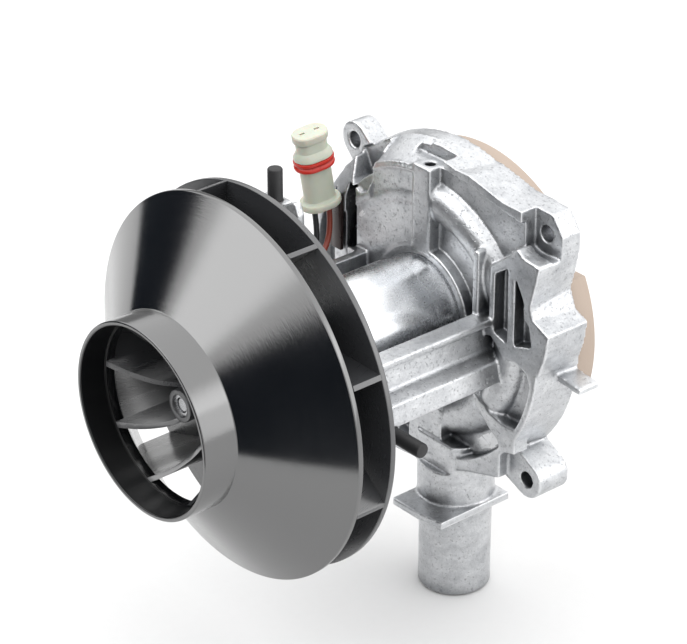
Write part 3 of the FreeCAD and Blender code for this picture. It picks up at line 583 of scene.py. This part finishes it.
def one_vane(turn):
    bpy.ops.curve.primitive_bezier_curve_add()
    curve = bpy.context.object
    points = curve.data.splines[0].bezier_points
    points.add(len(SWEEP) - len(points))
    curve.data.resolution_u = 9
    for point, (share, angle) in zip(points, SWEEP):
        a = math.radians(TIP_ANGLE + angle + turn)
        r = share * WHEEL_R * MM
        point.co = (r * math.cos(a), (FRONT_Y + VANE_START) * MM, r * math.sin(a))
        point.handle_left_type = point.handle_right_type = "AUTO"
    select_only(curve)
    bpy.ops.object.convert(target="MESH")
    vane = bpy.context.object
    edit_all(vane)
    along = (0, (PLATE_BACK - FRONT_Y - VANE_START) * MM, 0)
    bpy.ops.mesh.extrude_region_move(TRANSFORM_OT_translate={"value": along})
    leave_edit()
    modify(vane, "SOLIDIFY", thickness=VANE_WALL * MM, offset=0)
    bpy.ops.object.transform_apply()
    return vane


room = vane_room()
vanes = []
for i in range(VANES):
    vane = one_vane(360 / VANES * i)
    modify(vane, "BOOLEAN", operation="INTERSECT", object=room, solver="EXACT")
    modify(vane, "BEVEL", width=0.3 * MM, segments=2, limit_method="ANGLE", angle_limit=math.radians(50))
    close_shape(vane, 32)
    vanes.append(vane)
bpy.data.objects.remove(room)
select_only(vane_plate)
for vane in vanes:
    vane.select_set(True)
bpy.ops.object.join()
bpy.ops.object.shade_smooth_by_angle(angle=math.radians(32))
dress(vane_plate, "rotor", vane_plastic, "wheel_plastic", "wheel_vanes")

# %% [markdown]
# The housing is raw pressure-cast aluminium. A casting has no sharp edge anywhere, so
# its CAD shape is copied, remeshed with small cells and relaxed: that rounds every
# outer edge and fills every inner corner, as the metal does in the mould. Recesses that
# see little of the tent get painted shade in their colour, inner corners get painted
# shade too, and sharp outer edges get a painted highlight.

# %% Cast aluminium
METAL_TONES = ((0.30, (0.24, 0.25, 0.27)), (0.54, (0.49, 0.50, 0.515)), (0.80, (0.74, 0.75, 0.76)))
RECESS_REACH = 11.0


def make_cast_metal():
    material, paint = new_finish("cast_metal")
    place = paint.place()
    x, y, z = paint.axes(place)
    blotch = paint.noise(place, 95.0, 4.0, 0.6)
    flow = paint.noise(paint.vector(x * 0.6, y * 0.6, z * 2.0), 170.0, 3.0, 0.6)
    speck = paint.noise(place, 620.0, 3.0, 0.65)
    grain = paint.noise(place, 1900.0, 2.0, 0.6)
    pit = paint.step(paint.noise(place, 1100.0, 2.0, 0.6), 0.58, 0.70)
    shade = blotch * 0.45 + flow * 0.28 + speck * 0.25 + grain * 0.2
    tone = paint.ramp(shade, *METAL_TONES)
    tone = paint.mix(pit * 0.4, tone, rgb(0.12, 0.12, 0.13))
    # Painted shade: the colour turns dark grey where little of the tent reaches, in recesses.
    painted_shade_openness = paint.node("AmbientOcclusion", {"samples": 8}, {"Distance": RECESS_REACH * MM}, output="AO")
    tone = paint.mix(paint.step(painted_shade_openness, 0.15, 0.85), rgb(0.085, 0.09, 0.10), tone)
    # Painted highlight: sharp outer edges are lightened. Painted shade: inner corners are darkened.
    bent = paint.node("NewGeometry", output="Pointiness")
    tone = paint.mix(paint.step(bent, 0.51, 0.57) * 0.8, tone, rgb(0.86, 0.87, 0.88))
    tone = paint.mix((1 - paint.step(bent, 0.41, 0.485)) * 0.5, tone, rgb(0.10, 0.105, 0.11))
    rough = 0.17 + 0.24 * speck + 0.10 * blotch
    relief = paint.bump(speck * 0.7 + flow * 0.5 + grain * 0.35 - pit * 0.6, 0.12 * MM, 0.95)
    seal_finish(paint, Base_Color=tone, Roughness=rough, Metallic=0.94, Normal=relief)
    return material


cast_metal = make_cast_metal()


def copy_of(node, name):
    """A copy of a CAD node with its own merged mesh."""
    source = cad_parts[node]
    piece = source.copy()
    piece.data = source.data.copy()
    piece.parent = None
    for key in [k for k in piece.keys() if k.startswith("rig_")]:
        del piece[key]
    scene.collection.objects.link(piece)
    piece.name = name
    edit_all(piece)
    bpy.ops.mesh.remove_doubles(threshold=0.001 * MM)
    leave_edit()
    return piece


def cast_copy(node, name, cell, rounds, share):
    """A closed copy of a CAD node with softened edges."""
    piece = copy_of(node, name)
    modify(piece, "REMESH", mode="VOXEL", voxel_size=cell * MM, adaptivity=0)
    modify(piece, "SMOOTH", factor=0.5, iterations=rounds)
    modify(piece, "DECIMATE", ratio=share)
    select_only(piece)
    bpy.ops.object.shade_smooth()
    return piece


def beveled_copy(node, name, width, steps=2):
    """A copy of a CAD node whose sharp edges get a small bevel."""
    piece = copy_of(node, name)
    modify(piece, "BEVEL", width=width * MM, segments=steps, limit_method="ANGLE",
           angle_limit=math.radians(40))
    close_shape(piece, 40, 0.001)
    return piece


casting = cast_copy("blower_housing", "casting_dressed", 0.50, 2, 0.32)
dress(casting, "blower", cast_metal, "cast_aluminium", "blower_housing")

# %% [markdown]
# The motor can and its sleeve are zinc-plated sheet. Plating is bright and slightly
# cloudy, with a fine crystal grain and a few scuffs where tools touched it.

# %% Bright zinc
def make_bright_zinc():
    material, paint = new_finish("bright_zinc")
    place = paint.place()
    crystal = paint.noise(place, 900.0, 3.0, 0.6)
    cloud = paint.noise(place, 110.0, 3.0)
    tone = paint.mix(cloud, rgb(0.60, 0.62, 0.65), rgb(0.84, 0.85, 0.86))
    rough = 0.14 + 0.16 * crystal + 0.10 * cloud
    relief = paint.bump(crystal, 0.02 * MM, 0.5)
    seal_finish(paint, Base_Color=tone, Roughness=rough, Metallic=1.0, Normal=relief)
    return material


bright_zinc = make_bright_zinc()
CAN_R = 18.1
RING_R = 18.9
CAN_FRONT = -74.5
CAN_REAR = -12.05
RING_FRONT = -56.5
RING_REAR = -25.2
SEAM_WIDTH = 1.6
SEAM_TURN = -205.0
can_outline = rounded([
    (5.6, CAN_FRONT, 0), (16.9, CAN_FRONT, 0.3), (CAN_R, CAN_FRONT, 0.4), (CAN_R, CAN_REAR, 0),
    (5.6, CAN_REAR, 0),
], 0.3)
can = lathe("can_dressed", can_outline, steps=180)
dress(can, "blower", bright_zinc, "can_steel", "motor_can")
ring_inside = CAN_R - 0.1
ring_outline = rounded([
    (ring_inside, RING_FRONT), (RING_R, RING_FRONT), (RING_R, RING_REAR), (ring_inside, RING_REAR),
], 0.25)
ring = lathe("sleeve_dressed", ring_outline, steps=180)
bpy.ops.mesh.primitive_cube_add(size=1)
seam = bpy.context.object
edit_all(seam)
bpy.ops.transform.resize(value=(SEAM_WIDTH * MM, 40 * MM, 3 * MM))
bpy.ops.transform.translate(value=(0, -41 * MM, RING_R * MM))
bpy.ops.transform.rotate(value=math.radians(SEAM_TURN), orient_axis="Y", center_override=(0, 0, 0))
leave_edit()
modify(ring, "BOOLEAN", operation="DIFFERENCE", object=seam, solver="EXACT")
bpy.data.objects.remove(seam)
close_shape(ring, 30)
dress(ring, "blower", bright_zinc, "ring_steel", "flux_ring")

# %% [markdown]
# The disc behind the housing is pressed fibre, tan and smooth, with faint lines from
# the press. Its shape is right in the CAD model, so a copy of it only has its sharp
# edges bevelled, as a punched edge is worn round.

# %% Pressed fibre
def make_pressed_fibre():
    material, paint = new_finish("pressed_fibre")
    place = paint.place()
    x, y, z = paint.axes(place)
    strands = paint.noise(paint.vector(x * 0.4, y * 6.0, z * 0.4), 240.0, 3.0, 0.6)
    cloud = paint.noise(place, 45.0, 3.0)
    tone = paint.mix(strands * 0.5 + cloud * 0.5, rgb(0.33, 0.26, 0.21), rgb(0.43, 0.35, 0.29))
    rough = 0.55 + 0.2 * strands
    seal_finish(paint, Base_Color=tone, Roughness=rough, Normal=paint.bump(strands, 0.06 * MM, 0.6))
    return material


pressed_fibre = make_pressed_fibre()
disc = beveled_copy("insulating_disc", "disc_dressed", 0.6)
dress(disc, "blower", pressed_fibre, "pressed_fibre", "insulating_disc")

# %% [markdown]
# The plug is natural nylon: off-white, a little green, and light enters it a bit. Its
# seal is red silicone, and the bracket below is dark lacquered spring steel.

# %% Plug, seal, bracket, rubber and lead finishes
def make_plain(name, dark, light, rough, scale=120.0, metallic=0.0, height=0.03, **more):
    """A finish with a soft cloud of two shades, and a fine relief."""
    material, paint = new_finish(name)
    place = paint.place()
    cloud = paint.noise(place, scale, 3.0)
    grain = paint.noise(place, scale * 9, 2.0)
    tone = paint.mix(cloud, rgb(*dark), rgb(*light))
    relief = paint.bump(grain, height * MM, 0.5)
    rough = rough + 0.15 * grain
    seal_finish(paint, Base_Color=tone, Roughness=rough, Metallic=metallic, Normal=relief, **more)
    return material


nylon = make_plain("natural_nylon", (0.43, 0.455, 0.37), (0.54, 0.56, 0.475), 0.32,
                   Subsurface_Weight=0.35, Subsurface_Scale=0.004)
red_silicone = make_plain("red_silicone", (0.40, 0.012, 0.006), (0.55, 0.03, 0.015), 0.22)
dark_lacquer = make_plain("dark_lacquer", (0.02, 0.014, 0.013), (0.05, 0.03, 0.028), 0.22, scale=70.0,
                          metallic=0.3)
black_rubber = make_plain("black_rubber", (0.010, 0.010, 0.011), (0.020, 0.020, 0.021), 0.45)
black_cover = make_plain("black_cover", (0.006, 0.006, 0.007), (0.014, 0.014, 0.015), 0.30)
red_cover = make_plain("red_cover", (0.17, 0.026, 0.014), (0.26, 0.042, 0.02), 0.32)
bare_steel = make_plain("bare_steel", (0.42, 0.43, 0.44), (0.58, 0.58, 0.59), 0.20, metallic=1.0)
copper = make_plain("copper", (0.45, 0.16, 0.07), (0.60, 0.26, 0.12), 0.30, metallic=1.0)
brass = make_plain("brass", (0.50, 0.34, 0.12), (0.62, 0.45, 0.20), 0.28, metallic=1.0)
dark_resin = make_plain("dark_resin", (0.012, 0.012, 0.013), (0.03, 0.03, 0.032), 0.40)
tin = make_plain("tin", (0.45, 0.45, 0.43), (0.60, 0.60, 0.58), 0.25, metallic=1.0)

# %% [markdown]
# The plug is moulded as one upright body with two half-round ends: base flange, body, a
# sloping shoulder above the seal, neck and collar. It is lofted through outlines of that
# form, each with its own size and height, and then leans as it does on its bracket.

# %% Plug and seal
PLUG_LONG = 10.6
PLUG_WIDE = 7.4
PLUG_FOOT = (-39.7, -24.6, 24.6)
PLUG_TILT = Matrix.Rotation(math.radians(9.9), 4, "X")
PLUG_TURN = Matrix.Rotation(math.radians(-12), 4, "Z")
PLUG_LEAN = Matrix.Translation(PLUG_FOOT) @ PLUG_TILT @ PLUG_TURN


def plug_ring(grow, height, steps=12):
    """An outline with two half-round ends, in the plug's leaning place."""
    radius = PLUG_WIDE / 2 + grow
    straight = (PLUG_LONG - PLUG_WIDE) / 2
    ring = []
    for end in (1, -1):
        for step in range(steps + 1):
            a = math.pi * step / steps
            across = end * radius * math.cos(a)
            along = end * (straight + radius * math.sin(a))
            ring.append(PLUG_LEAN @ Vector((across, along, height)))
    return ring


PLUG_STEPS = (
    (1.5, 0), (1.7, 0.3), (1.7, 1.7), (1.4, 2.15), (0.4, 2.25), (0, 2.8), (0, 18.1), (1.1, 18.2),
    (1.3, 18.4), (1.3, 19.0), (0.3, 20.6), (0, 21.0), (0, 24.2), (0.5, 24.5), (0.7, 24.9),
    (0.7, 26.8), (0.4, 27.2), (-1.4, 27.25),
)
plug = loft("plug_dressed", [plug_ring(grow, height) for grow, height in PLUG_STEPS])
for side in (-1, 1):
    bpy.ops.mesh.primitive_cube_add(size=1)
    pole = bpy.context.object
    edit_all(pole)
    bpy.ops.transform.resize(value=(0.9 * MM, 1.8 * MM, 8 * MM))
    bpy.ops.transform.translate(value=(0, side * 2.6 * MM, 27.3 * MM))
    leave_edit()
    pole.matrix_world = Matrix.Translation(PLUG_LEAN.translation * MM) @ PLUG_LEAN.to_3x3().to_4x4()
    modify(plug, "BOOLEAN", operation="DIFFERENCE", object=pole, solver="EXACT")
    bpy.data.objects.remove(pole)
close_shape(plug, 35, 0.001)
dress(plug, "blower", nylon, "connector_nylon", "connector_body")

SEAL_STEPS = (
    (0.02, 14.65), (1.0, 14.65), (1.45, 14.9), (1.6, 15.4), (1.45, 15.9), (1.15, 16.2), (1.0, 16.4),
    (1.15, 16.6), (1.45, 16.9), (1.6, 17.4), (1.45, 17.9), (1.0, 18.15), (0.02, 18.15),
)
seal = loft("seal_dressed", [plug_ring(grow, height) for grow, height in SEAL_STEPS], hollow=True)
dress(seal, "blower", red_silicone, "seal_rubber", "connector_seal")

# %% [markdown]
# The bracket is bent from strip, so its edges are only broken. The leads are thin round
# cords: each is a curve through the same corners as in the CAD model. The two pins are
# rubber, turned round at the tip, and grip in the housing's lugs.

# %% Bracket, leads and pins
bracket = beveled_copy("connector_bracket", "bracket_dressed", 0.2)
dress(bracket, "blower", dark_lacquer, "bracket_steel", "connector_bracket")
TAIL = Vector((0, 1.65, -9.46))
BLACK_END = Vector((-40.24, -27.10, 24.16))
RED_END = Vector((-39.16, -22.10, 25.04))
LEAD_RADIUS = 0.95
black_points = [(-16.7, -67, 1.4), (-33.5, -67, 1.4), (-33.5, -45, 1.0), (-38.6, -28.4, 3.6)]
red_points = [(-16.7, -67, 4.6), (-33.5, -67, 4.6), (-33.5, -42, 4.0), (-37, -26.2, 6.4)]
black_lead = cord("black_lead_dressed", black_points + [BLACK_END + TAIL, BLACK_END], LEAD_RADIUS)
dress(black_lead, "blower", black_cover, "black_insulation", "black_lead")
red_lead = cord("red_lead_dressed", red_points + [RED_END + TAIL, RED_END], LEAD_RADIUS)
dress(red_lead, "blower", red_cover, "red_insulation", "red_lead")
PIN = ((2.3, 0), (2.4, 0.1), (2.4, 17.9), (2.2, 18.25), (1.8, 18.4))
upper_pin = rod("upper_pin_dressed", (-18.9, -60, 37.2), PIN, (0, 0, 1))
dress(upper_pin, "blower", black_rubber, "pin_rubber", "upper_stop_pin")
LOW_PIN = ((2.3, 0), (2.4, 0.1), (2.4, 21.5), (2.2, 21.85), (1.8, 22.0))
lower_pin = rod("lower_pin_dressed", (28.0, -60, -13.4), LOW_PIN, (1, 0, 0))
dress(lower_pin, "blower", black_rubber, "pin_rubber", "lower_stop_pin")

# %% [markdown]
# Nodes whose CAD shape is already right keep it, and only take a finish.

# %% Finishes for CAD nodes
NODE_FINISH = {
    "motor_shaft": bare_steel, "hub_clip": bare_steel, "field_magnets": dark_resin,
    "armature_core": bare_steel, "armature_windings": copper, "commutator_bars": copper,
    "commutator_sleeve": dark_resin, "motor_end_cap": dark_resin, "front_bearing": brass,
    "rear_bearing": brass, "left_brush": dark_resin, "right_brush": dark_resin,
    "left_brush_holder": brass, "right_brush_holder": brass, "left_brush_spring": bare_steel,
    "right_brush_spring": bare_steel, "combustion_wheel": cast_metal, "channel_cover": cast_metal,
    "cover_screws": bright_zinc, "insulating_disc": pressed_fibre, "upper_stop_pin": black_rubber,
    "lower_stop_pin": black_rubber, "connector_body": nylon, "connector_seal": red_silicone,
    "connector_terminals": tin, "connector_bracket": dark_lacquer, "lead_grommet": black_rubber,
    "black_lead": black_cover, "red_lead": red_cover,
}
for node, finish in NODE_FINISH.items():
    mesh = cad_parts[node].data
    mesh.materials.clear()
    mesh.materials.append(finish)
print("finishes on CAD nodes:", len(NODE_FINISH))
